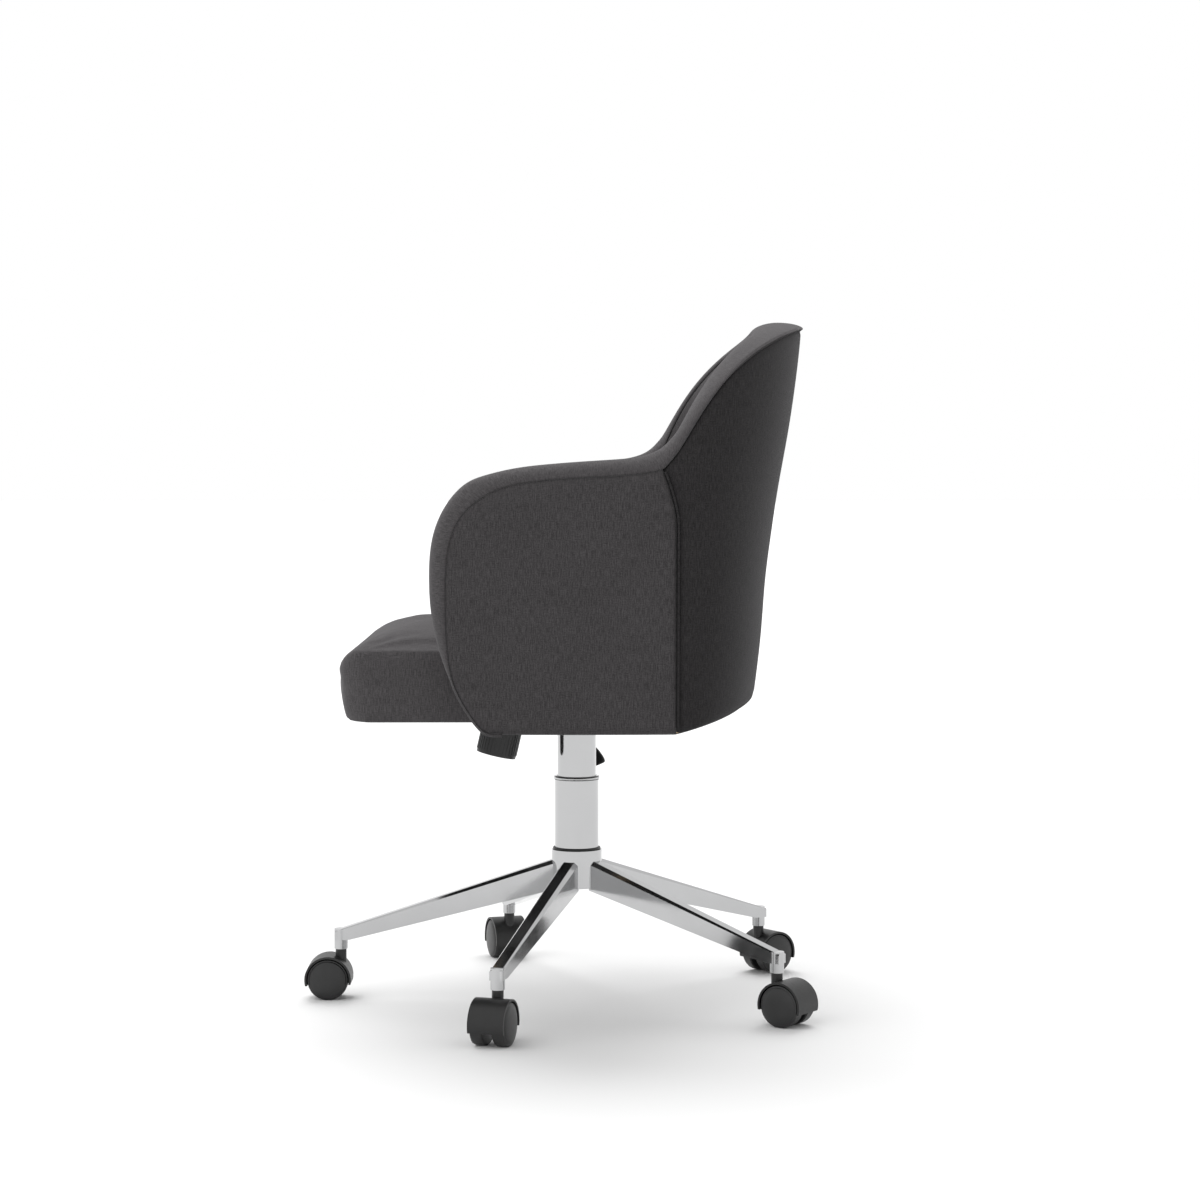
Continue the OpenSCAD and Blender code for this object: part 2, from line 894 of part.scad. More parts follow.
// Places its children on a caster's axle, +Z along it and the stem's side at -X
module on_axle(i) {
    at_caster(i) translate([trail, 0, wheel_r]) rotate([90, 0, 0]) children();
}

// Side view of what lies above the hood's lower edge
module hood_reach() {
    polygon([[-2 * wheel_r, -5], [2 * wheel_r, -8], [2 * wheel_r, 2 * wheel_r],
             [-2 * wheel_r, 2 * wheel_r]]);
}

module caster_hood(i) {
    color(black)
        difference() {
            union() {
                on_axle(i)
                    linear_extrude(caster_w, center = true)
                        intersection() {
                            difference() {
                                circle(hood_out_r);
                                circle(hood_in_r);
                            }
                            hood_reach();
                        }
                on_axle(i)
                    linear_extrude(web_t, center = true)
                        intersection() {
                            circle(hood_in_r + hood_t / 2);
                            hood_reach();
                        }
                difference() {
                    at_caster(i)
                        translate([0, 0, wheel_r + 11])
                            cylinder(d = neck_d, h = stem_step_z - wheel_r - 11);
                    on_axle(i)
                        cylinder(r = hood_in_r, h = 2 * caster_w, center = true);
                }
            }
            at_caster(i)
                translate([0, 0, wheel_r + 8])
                    cylinder(d = pin_d, h = 60);
            on_axle(i) cylinder(d = axle_d, h = 2 * caster_w, center = true);
        }
}

module caster_pins(i) {
    color(steel)
        union() {
            at_caster(i)
                union() {
                    translate([0, 0, wheel_r + 8])
                        cylinder(d = pin_d, h = stem_step_z - wheel_r - 8);
                    translate([0, 0, stem_step_z])
                        cylinder(d = stem_d, h = ferrule_top_z - stem_step_z - 4);
                }
            on_axle(i)
                cylinder(d = axle_d, h = caster_w - 3, center = true);
        }
}

module wheel(i, side) {
    r = wheel_r;
    w = wheel_w;
    color(black)
        on_axle(i)
            mirror([0, 0, side < 0 ? 1 : 0])
                translate([0, 0, wheel_gap / 2])
                    rotate_extrude()
                        polygon([[axle_d / 2 + run, 0], [r - 1.5, 0], [r, 1.5],
                                 [r, w - 3], [r - 0.8, w - 1], [r - 2.5, w - 0.4],
                                 [r - 4, w - 0.8], [r - 5, w - 1.4], [r - 6, w - 0.8],
                                 [r / 2, w - 0.2], [axle_d / 2 + 1, w],
                                 [axle_d / 2 + run, w]]);
}

seat_cushion();
seat_board();
dust_cover();
arm_pad("left");  // arm_pad_left
arm_pad("right");  // arm_pad_right
arm_frame("left");  // arm_frame_left
arm_frame("right");  // arm_frame_right
arm_panel("left");  // arm_panel_left
arm_panel("right");  // arm_panel_right
arm_band("left");  // arm_band_left
arm_band("right");  // arm_band_right
back_pad();
back_frame();
back_panel();
back_band();
frame_screws();
tee_nuts();
seat_bolts();
seat_plate();
pivot_pin();
mechanism_housing();
tension_spring();
tension_nut();
tension_knob();
tension_bolt();
lever_sleeve();
lever_rod();
lever_paddle();
upper_tube();
gas_cylinder();
release_pin();
piston_rod();
rod_clip();
pedestal_tube();
guide_bush();
thrust_bearing();
star_base();
caster_sockets();
for (i = CASTERS) {
    caster_hood(i);
    caster_pins(i);
    wheel(i, 1);
    wheel(i, -1);
}
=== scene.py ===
"""Swivel office chair: upholstery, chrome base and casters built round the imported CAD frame.

Metres, +Z up, the chair faces -Y. Sizes come from the CAD nodes' boxes; the few values that a
box can't give are named below.
"""
import json
import math

import bmesh
import bpy
import numpy as np
from mathutils import Matrix, Vector


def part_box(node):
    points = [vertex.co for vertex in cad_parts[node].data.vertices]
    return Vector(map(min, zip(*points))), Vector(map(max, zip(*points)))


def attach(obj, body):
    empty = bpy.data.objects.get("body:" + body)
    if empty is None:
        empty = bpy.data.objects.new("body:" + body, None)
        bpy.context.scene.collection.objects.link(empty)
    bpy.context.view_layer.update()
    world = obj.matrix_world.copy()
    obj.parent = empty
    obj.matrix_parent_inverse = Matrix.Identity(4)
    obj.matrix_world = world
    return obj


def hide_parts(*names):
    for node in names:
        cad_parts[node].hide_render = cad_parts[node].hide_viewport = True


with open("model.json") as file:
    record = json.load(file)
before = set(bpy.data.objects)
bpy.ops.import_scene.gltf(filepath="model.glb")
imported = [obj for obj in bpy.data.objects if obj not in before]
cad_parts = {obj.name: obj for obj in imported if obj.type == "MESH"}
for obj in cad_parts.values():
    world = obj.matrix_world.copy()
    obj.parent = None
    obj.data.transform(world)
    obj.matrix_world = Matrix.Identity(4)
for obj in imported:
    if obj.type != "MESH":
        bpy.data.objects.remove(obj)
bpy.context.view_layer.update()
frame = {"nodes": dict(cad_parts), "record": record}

MM = 0.001


def low(node):
    """Lowest corner of a CAD node."""
    return np.array(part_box(node)[0])


def high(node):
    """Highest corner of a CAD node."""
    return np.array(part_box(node)[1])


# ---- sizes ---------------------------------------------------------------------

HALF_W = high("arm_panel_left")[0]
SEAM_Y = high("arm_panel_left")[1]
LOW_Z = low("arm_panel_left")[2]
TOP_Z = high("back_band")[2]
ARM_T = HALF_W - low("arm_pad_left")[0]
FRAME_IN = HALF_W - low("arm_frame_left")[0]
SEAT_TOP = high("seat_cushion")[2]
SEAT_FRONT = low("seat_cushion")[1]
SEAT_LOW = low("seat_cushion")[2]
SEAT_HALF = high("seat_cushion")[0]
BOARD_TOP = high("seat_board")[2]
BOARD_LOW = low("seat_board")[2]

LEAN = math.tan(math.radians(7.7))  # slope of the back's rear face
REAR_LOW = 211 * MM                 # how far back the rear face is at its foot
PLAN_POWER = 2.2                    # squareness of the back's curve from above
BACK_T = 62 * MM                    # thickness of the back in its middle
SHOULDER_Z = 691 * MM               # where the dome starts above the arms
TAIL_RISE = 24 * MM                 # rise of the lower edge round the back
JOIN = 16 * MM                      # how far the upright side seam bends forward
JOIN_BEND = 62 * MM                 # height over which it bends
JOIN_Z = 649.5 * MM                 # where it meets the edge band
CLOTH_T = 3 * MM                    # thickness of a cover
VALLEY = 1.6 * MM                   # depth of a seam between two covers
VALLEY_W = 2.2 * MM                 # width of that seam
HEM_R = 9 * MM                      # radius of the turned lower edge
HEM_DROP = 1.8 * MM                 # how far it hangs below the panel it covers
INSIDE_GAP = 14 * MM                # foot of the inner covers above the seat board
TOP_SEAM = 27 * MM                  # the cushion's seam below its top
THREAD = 1.5 * MM                   # width of a yarn and its gap

# Side view of the left arm's edge in millimetres (Y, Z), from its foot round the nose to the
# back: its crest, and the seams outside and inside it. The three lists go point by point.
ARM_CREST = [(-84, 352.2), (-101, 352.4), (-114, 361), (-129, 386), (-145, 417), (-157, 452),
             (-164.5, 490), (-166.5, 525), (-165, 560), (-158, 589), (-144, 615), (-124, 635),
             (-98, 645), (-60, 653), (-8, 658), (45, 661.5), (68, 663.8), (86, 669), (99, 677),
             (112, 691)]
ARM_SEAM = [(-84, 353), (-99, 353.6), (-110.5, 362.5), (-125.5, 384), (-138.5, 411), (-145, 447),
            (-146.5, 488), (-146.5, 525), (-144, 557), (-136.5, 584), (-124, 603), (-107, 617),
            (-85, 628.5), (-55, 635.5), (-8, 640), (45, 642.5), (78, 646), (95, 649.5),
            (103, 656.5), (112, 667)]
ARM_SEAM_IN = ARM_SEAM[:-5] + [(45, 643), (70, 646.5), (88, 651.5), (101, 660), (112, 670)]


# ---- mesh helpers --------------------------------------------------------------

def link(obj):
    """Puts an object in the scene."""
    bpy.context.scene.collection.objects.link(obj)
    return obj


def smooth(mesh):
    mesh.polygons.foreach_set("use_smooth", [True] * len(mesh.polygons))


def grid_object(name, points, uv, flip=False, wrap=False):
    """A surface from an array of points (rows, columns, 3), with its weave coordinates in metres."""
    rows, cols = points.shape[:2]
    mesh = bpy.data.meshes.new(name)
    faces = []
    corners = []
    last = cols if wrap else cols - 1
    for i in range(rows - 1):
        for j in range(last):
            k = (j + 1) % cols
            quad = [(i, j), (i + 1, j), (i + 1, k), (i, k)]
            if flip:
                quad.reverse()
            faces.append([a * cols + b for a, b in quad])
            corners += [uv[a, b] for a, b in quad]
    mesh.from_pydata(points.reshape(-1, 3).tolist(), [], faces)
    layer = mesh.uv_layers.new(name="weave")
    layer.data.foreach_set("uv", np.array(corners).ravel())
    smooth(mesh)
    return link(bpy.data.objects.new(name, mesh))


def thicken(obj, depth, offset=-1.0):
    """Gives a sheet its thickness, so that it is a closed piece."""
    mod = obj.modifiers.new("thickness", "SOLIDIFY")
    mod.thickness = depth
    mod.offset = offset


def finish_piece(obj, material, body="seat", nodes=()):
    """Gives a piece its material and its body, and hides the CAD nodes it replaces."""
    obj.data.materials.clear()
    obj.data.materials.append(material)
    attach(obj, body)
    if nodes:
        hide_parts(*nodes)
    return obj


def smoothed(line, passes):
    """A polyline with its kinks eased, ends kept."""
    line = line.copy()
    for _ in range(passes):
        line[1:-1] = 0.25 * line[:-2] + 0.5 * line[1:-1] + 0.25 * line[2:]
    return line


# ---- shape of the tub ----------------------------------------------------------
# A place on the tub's wall is (p, z, d): p runs round the tub from the left side seam,
# negative along the left arm, z is the height and d the depth inside the outer face.

def rear_at(z):
    """How far back the rear face is at height z: a straight lean with a slight hollow."""
    sway = -3.8 * np.exp(-((z - 0.52) / 0.06) ** 2) - 4.4 * np.exp(-((z - 0.61) / 0.075) ** 2)
    return REAR_LOW + (z - LOW_Z) * LEAN + sway * MM


ANGLES = np.linspace(0, math.pi, 721)


def plan_xy(a, z, d):
    """The back's curve from above: x and y at angle a, height z and depth d."""
    e = 2 / PLAN_POWER
    c = np.cos(a)
    x = (HALF_W - d) * np.sign(c) * np.abs(c) ** e
    y = SEAM_Y + (rear_at(z) - SEAM_Y - d) * np.abs(np.sin(a)) ** e
    return x, y


_x, _y = plan_xy(ANGLES, 0.58, 0.0)
ARC = np.concatenate([[0], np.cumsum(np.hypot(np.diff(_x), np.diff(_y)))])
LENGTH = ARC[-1]


def wall(p, z, d):
    """World points for arrays of (p, z, d)."""
    p, z, d = np.broadcast_arrays(p, z, d)
    a = np.interp(p, ARC, ANGLES)
    x, y = plan_xy(a, z, d)
    y = np.where(p < 0, SEAM_Y + p, y)
    y = np.where(p > LENGTH, SEAM_Y - (p - LENGTH), y)
    x = np.where(p < 0, HALF_W - d, x)
    x = np.where(p > LENGTH, -(HALF_W - d), x)
    return np.stack([x, y, z], -1)


def thickness(p):
    """Thickness of the tub's wall at p."""
    a = np.interp(p, ARC, ANGLES)
    return ARM_T + (BACK_T - ARM_T) * np.sin(a)


def foot_at(p):
    """Height of the tub's lower edge, which rises round the back."""
    a = np.interp(p, ARC, ANGLES)
    return LOW_Z - HEM_DROP + TAIL_RISE * np.abs(np.sin(a)) ** (2 / PLAN_POWER)


def spline(points, n):
    """A smooth curve through points, with n steps between each two."""
    pts = np.array(points, float)
    pts = np.concatenate([[2 * pts[0] - pts[1]], pts, [2 * pts[-1] - pts[-2]]])
    t = np.linspace(0, 1, n, endpoint=False)[:, None]
    out = []
    for a, b, c, d in zip(pts, pts[1:], pts[2:], pts[3:]):
        out.append(b + 0.5 * t * (c - a + t * (2 * a - 5 * b + 4 * c - d + t * (3 * (b - c) + d - a))))
    return np.concatenate(out + [pts[-2:-1]])


def dome(drop):
    """A line over the back as (p, z), a given drop below its top; the drop depends on the way
    k from the side seams (0) to the middle (1)."""
    a = np.linspace(0, math.pi, 201)[1:-1]
    k = 1 - np.abs(a / (math.pi / 2) - 1)
    arch = 1 - (1 - k) ** (3.1 - 1.6 * k)
    return np.stack([np.interp(a, ANGLES, ARC), SHOULDER_Z + (TOP_Z - SHOULDER_Z) * arch - drop(k)], -1)


def rim(arm_points, drop):
    """A line along the tub's whole edge as (p, z), from the left arm's foot to the right arm's."""
    arm = spline(arm_points, 8) * MM
    arm[:, 0] -= SEAM_Y
    other = arm[::-1].copy()
    other[:, 0] = LENGTH - other[:, 0]
    return smoothed(np.concatenate([arm, dome(drop), other]), 4)


CREST = rim(ARM_CREST, lambda k: 0 * k)
SEAM = rim(ARM_SEAM, lambda k: (24 * np.exp(-(k / 0.2) ** 1.5) + 11 * k ** 2.5) * MM)
SEAM_IN = rim(ARM_SEAM_IN, lambda k: (21 - 5 * np.minimum(1, 2 * k)) * MM)
ARM_COUNT = 8 * (len(ARM_CREST) - 1) + 1


def seam_height(line, p):
    """Height of a rim line over the back, at p."""
    part = line[ARM_COUNT - 28:len(line) - ARM_COUNT + 28]
    return np.interp(p, part[:, 0], part[:, 1])


def edge_distance(points, line):
    """Distance of each (p, z) from a polyline."""
    a, b = line[:-1], line[1:]
    flat = points.reshape(-1, 1, 2)
    ab = (b - a)[None]
    t = ((flat - a) * ab).sum(-1) / np.maximum((ab * ab).sum(-1), 1e-12)
    near = a + np.clip(t, 0, 1)[..., None] * ab
    return np.sqrt(((flat - near) ** 2).sum(-1)).min(1).reshape(points.shape[:2])


def coons(bottom, top, left, right):
    """Grid of (p, z) filling four edges; bottom and top run one way, left and right go up."""
    n, m = len(bottom), len(left)
    u = np.linspace(0, 1, n)[:, None, None]
    v = np.linspace(0, 1, m)[None, :, None]
    c = (1 - v) * bottom[:, None] + v * top[:, None] + (1 - u) * left[None] + u * right[None]
    c -= (1 - u) * (1 - v) * bottom[0] + u * (1 - v) * bottom[-1] + (1 - u) * v * top[0] + u * v * top[-1]
    return c


def resample(line, n):
    """n points evenly along a polyline."""
    step = np.concatenate([[0], np.cumsum(np.linalg.norm(np.diff(line, axis=0), axis=1))])
    t = np.linspace(0, 1, n)
    return np.stack([np.interp(t * step[-1], step, line[:, i]) for i in range(line.shape[1])], -1)


def padded_surface(name, grid, base, puff, inward, soft=34 * MM, flip=False):
    """A padded panel over a grid of (p, z): pulled in at its seams and full in its middle. An
    outer panel turns under at its foot, an inner one ends straight."""
    seams = np.concatenate([grid[0], grid[1:, -1], grid[-1, ::-1][1:]])
    gap = edge_distance(grid, seams)
    sign = 1.0 if inward else -1.0
    d = base + sign * (puff * (1 - np.exp(-gap / soft)) - VALLEY * np.exp(-gap / VALLEY_W))
    z = grid[..., 1].copy()
    if not inward:
        foot = foot_at(grid[..., 0])
        turn = np.clip(1 - (z - foot) / HEM_R, 0, 1) * math.pi / 2
        d = d + HEM_R * (1 - np.cos(turn))
        z = np.where(turn > 0, foot + HEM_R * (1 - np.sin(turn)), z)
    return grid_object(name, wall(grid[..., 0], z, d), grid, flip=flip)


# ---- materials -----------------------------------------------------------------

def new_material(name):
    """A material with its node tree and shader."""
    mat = bpy.data.materials.new(name)
    mat.use_nodes = True
    tree = mat.node_tree
    shader = tree.nodes["Principled BSDF"]
    return mat, tree, shader


def add(tree, kind, **inputs):
    """A node with the given input values."""
    node = tree.nodes.new(kind)
    for key, value in inputs.items():
        node.inputs[key.replace("_", " ")].default_value = value
    return node


def coords(tree, kind="object", scale=(1, 1, 1)):
    """Scaled coordinates: the object's own, or those of the weave."""
    mapping = tree.nodes.new("ShaderNodeMapping")
    mapping.inputs["Scale"].default_value = scale
    if kind == "weave":
        src = tree.nodes.new("ShaderNodeUVMap")
        src.uv_map = "weave"
        tree.links.new(src.outputs["UV"], mapping.inputs["Vector"])
    else:
        src = tree.nodes.new("ShaderNodeTexCoord")
        tree.links.new(src.outputs["Object"], mapping.inputs["Vector"])
    return mapping.outputs["Vector"]


def math_node(tree, op, a, b):
    node = tree.nodes.new("ShaderNodeMath")
    node.operation = op
    for i, value in enumerate((a, b)):
        if isinstance(value, (int, float)):
            node.inputs[i].default_value = value
        else:
            tree.links.new(value, node.inputs[i])
    return node.outputs[0]


def noise(tree, vector, scale, detail=2.0, roughness=0.5):
    node = add(tree, "ShaderNodeTexNoise", Scale=scale, Detail=detail, Roughness=roughness)
    tree.links.new(vector, node.inputs["Vector"])
    return node.outputs["Fac"]


def ramp(tree, fac, stops):
    """Colours by a value, from (position, colour) stops."""
    node = tree.nodes.new("ShaderNodeValToRGB")
    elements = node.color_ramp.elements
    for i, (pos, colour) in enumerate(stops):
        e = elements[i] if i < 2 else elements.new(pos)
        e.position = pos
        e.color = (*colour, 1)
    tree.links.new(fac, node.inputs["Fac"])
    return node.outputs["Color"]


def bump(tree, shader, height, distance, strength=1.0):
    node = add(tree, "ShaderNodeBump", Strength=strength, Distance=distance)
    tree.links.new(height, node.inputs["Height"])
    tree.links.new(node.outputs["Normal"], shader.inputs["Normal"])


def linen(name, dark, light):
    """Linen-look cloth: a plain weave with slubs along both threads."""
    mat, tree, shader = new_material(name)
    uv = coords(tree, "weave")
    slub_up = noise(tree, coords(tree, "weave", (1, 0.09, 1)), 1050, 2.0)
    slub_across = noise(tree, coords(tree, "weave", (0.14, 1, 1)), 950, 2.0)
    grain = noise(tree, uv, 700, 1.0)
    cloudy = noise(tree, uv, 14, 3.0)
    tone = math_node(tree, "MULTIPLY", slub_up, 0.46)
    tone = math_node(tree, "ADD", tone, math_node(tree, "MULTIPLY", slub_across, 0.2))
    tone = math_node(tree, "ADD", tone, math_node(tree, "MULTIPLY", grain, 0.28))
    tone = math_node(tree, "ADD", tone, math_node(tree, "MULTIPLY", cloudy, 0.06))
    colour = ramp(tree, tone, [(0.40, dark), (0.60, light)])
    tree.links.new(colour, shader.inputs["Base Color"])
    waves = []
    for direction in ("X", "Y"):
        wave = add(tree, "ShaderNodeTexWave", Scale=2 * math.pi / (20 * THREAD), Distortion=0.6,
                   Detail=1.0)
        wave.bands_direction = direction
        tree.links.new(uv, wave.inputs["Vector"])
        waves.append(wave.outputs["Fac"])
    weave = math_node(tree, "MULTIPLY", waves[0], waves[1])
    height = math_node(tree, "ADD", weave, math_node(tree, "MULTIPLY", tone, 2.2))
    bump(tree, shader, height, 0.16 * MM, 0.55)
    shader.inputs["Roughness"].default_value = 0.92
    shader.inputs["Specular IOR Level"].default_value = 0.15
    shader.inputs["Sheen Weight"].default_value = 0.09
    shader.inputs["Sheen Roughness"].default_value = 0.45
    shader.inputs["Sheen Tint"].default_value = (0.75, 0.74, 0.76, 1)
    return mat


def chrome(name):
    """Polished chrome with a faint smear."""
    mat, tree, shader = new_material(name)
    smear = noise(tree, coords(tree), 22, 3.0)
    colour = ramp(tree, smear, [(0.2, (0.445, 0.447, 0.450)), (0.8, (0.470, 0.472, 0.476))])
    tree.links.new(colour, shader.inputs["Base Color"])
    rough = math_node(tree, "MULTIPLY", noise(tree, coords(tree), 60, 4.0), 0.08)
    tree.links.new(math_node(tree, "ADD", rough, 0.07), shader.inputs["Roughness"])
    shader.inputs["Metallic"].default_value = 1.0
    return mat


def steel(name):
    """Zinc-plated steel, lightly brushed."""
    mat, tree, shader = new_material(name)
    brush = noise(tree, coords(tree, "object", (1, 1, 30)), 160, 3.0)
    colour = ramp(tree, brush, [(0.3, (0.336,) * 3), (0.7, (0.483,) * 3)])
    tree.links.new(colour, shader.inputs["Base Color"])
    tree.links.new(math_node(tree, "ADD", math_node(tree, "MULTIPLY", brush, 0.2), 0.25),
                   shader.inputs["Roughness"])
    shader.inputs["Metallic"].default_value = 1.0
    return mat


def plastic(name, tone, grain=0.05 * MM, roughness=0.42):
    """Black moulded plastic with a fine grained skin."""
    mat, tree, shader = new_material(name)
    cloud = noise(tree, coords(tree), 90, 3.0)
    light = (tone * 1.2, tone * 1.2, tone * 1.22)
    colour = ramp(tree, cloud, [(0.3, (tone * 0.85,) * 3), (0.75, light)])
    tree.links.new(colour, shader.inputs["Base Color"])
    rough = math_node(tree, "MULTIPLY", noise(tree, coords(tree), 300, 2.0), 0.14)
    tree.links.new(math_node(tree, "ADD", rough, roughness - 0.07), shader.inputs["Roughness"])
    bump(tree, shader, noise(tree, coords(tree), 1400, 2.0), grain, 0.5)
    return mat


def plywood(name):
    """Pale plywood with its grain."""
    mat, tree, shader = new_material(name)
    rings = noise(tree, coords(tree, "object", (1, 9, 14)), 9, 6.0, 0.6)
    colour = ramp(tree, rings, [(0.25, (0.40, 0.27, 0.15)), (0.7, (0.63, 0.47, 0.29))])
    tree.links.new(colour, shader.inputs["Base Color"])
    bump(tree, shader, rings, 0.3 * MM, 0.4)
    shader.inputs["Roughness"].default_value = 0.75
    return mat


def lining(name):
    """Thin black non-woven cloth."""
    mat, tree, shader = new_material(name)
    felt = noise(tree, coords(tree), 700, 4.0)
    colour = ramp(tree, felt, [(0.3, (0.006, 0.006, 0.006)), (0.75, (0.02, 0.02, 0.021))])
    tree.links.new(colour, shader.inputs["Base Color"])
    bump(tree, shader, felt, 0.2 * MM, 0.6)
    shader.inputs["Roughness"].default_value = 0.95
    return mat


MATERIALS = {
    "upholstery": linen("linen", (0.0330, 0.0310, 0.0320), (0.0625, 0.0588, 0.0605)),
    "outer_upholstery": linen("linen_outer", (0.0235, 0.0220, 0.0227), (0.0495, 0.0465, 0.0480)),
    "lining": lining("lining_cloth"),
    "plywood": plywood("plywood"),
    "chrome": chrome("chrome"),
    "steel": steel("zinc_steel"),
    "black_metal": plastic("powder_coat", 0.018, 0.08 * MM, 0.5),
    "black_plastic": plastic("black_plastic", 0.0062),
    "wheel_plastic": plastic("wheel_plastic", 0.010, 0.03 * MM, 0.4),
}
# Painted shade: the back cover and its piping use the outer linen painted darker, standing in for the
# shade on the back of the tub.
BACK_CLOTH_PAINTED_SHADE = linen("linen_back_painted_shade", (0.0095, 0.0089, 0.0092), (0.0245, 0.0230, 0.0237))


def dress_frame():
    """Gives every CAD node the material of its slot, with softened edges on the visible ones."""
    slots = {s["node"]: s["material_slot"] for s in frame["record"]["subparts"]}
    for name, obj in frame["nodes"].items():
        obj.data.materials.clear()
        obj.data.materials.append(MATERIALS[slots[name]])
        if slots[name] in ("chrome", "black_plastic", "wheel_plastic", "black_metal"):
            edge = obj.modifiers.new("edge", "BEVEL")
            edge.width = 0.6 * MM
            edge.segments = 2
            edge.limit_method = "ANGLE"
            edge.angle_limit = math.radians(35)
            edge.harden_normals = True


# ---- upholstery ----------------------------------------------------------------

def edge_band():
    """The rounded band along the arms' fronts and tops and over the back: phi runs across it
    from the outer seam to the inner one."""
    phi = np.linspace(0, math.pi, 25)[None, :]
    t = thickness(SEAM[:, 0])[:, None]
    across = np.cos(phi)
    rise = np.sin(phi) ** 1.1
    outer = phi <= math.pi / 2
    p, z = [np.where(outer, SEAM[:, i:i + 1], SEAM_IN[:, i:i + 1]) for i in (0, 1)]
    p = p + (CREST[:, :1] - p) * rise
    z = z + (CREST[:, 1:] - z) * rise
    pull = VALLEY * (np.exp(-phi / 0.12) - np.exp(-(math.pi - phi) / 0.12))
    bulge = 1.6 * MM * np.sin(2 * phi)
    pts = wall(p, z, t * (1 - across) / 2 + pull - bulge)
    along = np.concatenate([[0], np.cumsum(np.linalg.norm(np.diff(SEAM, axis=0), axis=1))])
    uv = np.stack(np.broadcast_arrays(along[:, None], phi * 0.03), -1)
    obj = grid_object("edge_band", pts, uv)
    thicken(obj, CLOTH_T)
    return finish_piece(obj, MATERIALS["upholstery"],
                        nodes=("arm_band_left", "arm_band_right", "back_band"))


def mirrored(grid):
    """The same (p, z) grid on the other arm."""
    other = grid.copy()
    other[..., 0] = LENGTH - other[..., 0]
    return other


def seam_pull(z, top):
    """How far the upright side seam bends forward at height z, below its upper end at top."""
    return JOIN * np.clip((z - (top - JOIN_BEND)) / JOIN_BEND, 0, 1) ** 1.6


def arm_grid(line, foot, n=64, m=64):
    """(p, z) over an arm inside a seam line, above foot."""
    seam = line[:ARM_COUNT]
    join = int(np.argmin(np.abs(seam[:, 0] + JOIN)))
    top_z = seam_height(line, -JOIN)
    seam = np.concatenate([seam[:join], [[-JOIN, top_z]]])
    nose = int(np.argmin(np.abs(seam[:, 1] - 597 * MM)))
    front = seam[int(np.argmax(seam[:, 1] >= foot)):nose + 1].copy()
    front[0, 1] = foot
    left, upper = resample(front, m), resample(seam[nose:], n)
    zs = np.linspace(foot, top_z, m)
    right = np.stack([-seam_pull(zs, top_z), zs], -1)
    return coons(np.linspace(left[0], right[0], n), upper, left, right)


def back_grid(line, foot, cols, rows):
    """(p, z) over the back inside a seam line; its side edges follow the upright seams."""
    p0 = np.linspace(0, LENGTH, cols + 1)
    fall = np.clip(1 - np.minimum(p0, LENGTH - p0) / (45 * MM), 0, 1) ** 1.5
    side = np.where(p0 < LENGTH / 2, -1.0, 1.0)
    top = seam_height(line, p0 + side * fall * JOIN)[:, None]
    low_z = foot(p0)[:, None]
    z = low_z + (top - low_z) * np.linspace(0, 1, rows + 1)[None, :]
    pull = np.where(z > top[0], JOIN, seam_pull(z, top[0]))
    return np.stack([p0[:, None] + (side * fall)[:, None] * pull, z], -1)


def outer_panels():
    """The outer cover: a flat panel on each arm and one round the back."""
    for side in ("left", "right"):
        grid = arm_grid(SEAM, LOW_Z - HEM_DROP)
        if side == "right":
            grid = mirrored(grid)
        obj = padded_surface(f"side_panel_{side}", grid, 0.0, 3.5 * MM, False, flip=side == "right")
        thicken(obj, CLOTH_T)
        finish_piece(obj, MATERIALS["outer_upholstery"],
                     nodes=(f"arm_panel_{side}",))
    grid = back_grid(SEAM, foot_at, 150, 72)
    obj = padded_surface("back_panel_cover", grid, 2.4 * MM, 2.4 * MM, False)
    thicken(obj, CLOTH_T)
    # The back cover takes the darker cloth: painted shade on the back of the tub.
    finish_piece(obj, BACK_CLOTH_PAINTED_SHADE, nodes=("back_panel",))


def inner_panels():
    """The padded inside of the arms and the back, down behind the cushion."""
    foot = BOARD_TOP + INSIDE_GAP
    for side in ("left", "right"):
        grid = arm_grid(SEAM_IN, foot)
        if side == "right":
            grid = mirrored(grid)
        obj = padded_surface(f"arm_inside_{side}", grid, ARM_T, 7 * MM, True, soft=30 * MM,
                             flip=side == "left")
        thicken(obj, CLOTH_T)
        finish_piece(obj, MATERIALS["upholstery"], nodes=(f"arm_pad_{side}",))
    grid = back_grid(SEAM_IN, lambda p: 0 * p + foot, 120, 64)
    obj = padded_surface("back_inside", grid, thickness(grid[..., 0]), 11 * MM, True,
                         soft=45 * MM, flip=True)
    thicken(obj, CLOTH_T)
    finish_piece(obj, MATERIALS["upholstery"], nodes=("back_pad",))


def tube_along(name, line, radius, sides=8):
    """A round cord swept along world points."""
    line = np.array(line)
    tangent = np.gradient(line, axis=0)
    tangent /= np.linalg.norm(tangent, axis=1)[:, None]
    ref = np.array([1.0, 0.3, 0.2])
    a = np.cross(tangent, ref)
    a /= np.linalg.norm(a, axis=1)[:, None]
    b = np.cross(tangent, a)
    ring = np.linspace(0, 2 * math.pi, sides, endpoint=False)
    c, d = [f(ring)[None, :, None] for f in (np.cos, np.sin)]
    pts = line[:, None] + radius * (c * a[:, None] + d * b[:, None])
    along = np.concatenate([[0], np.cumsum(np.linalg.norm(np.diff(line, axis=0), axis=1))])
    uv = np.stack(np.broadcast_arrays(along[:, None], ring[None, :] * radius), -1)
    obj = grid_object(name, pts, uv, wrap=True)
    close_ends(obj)
    return obj


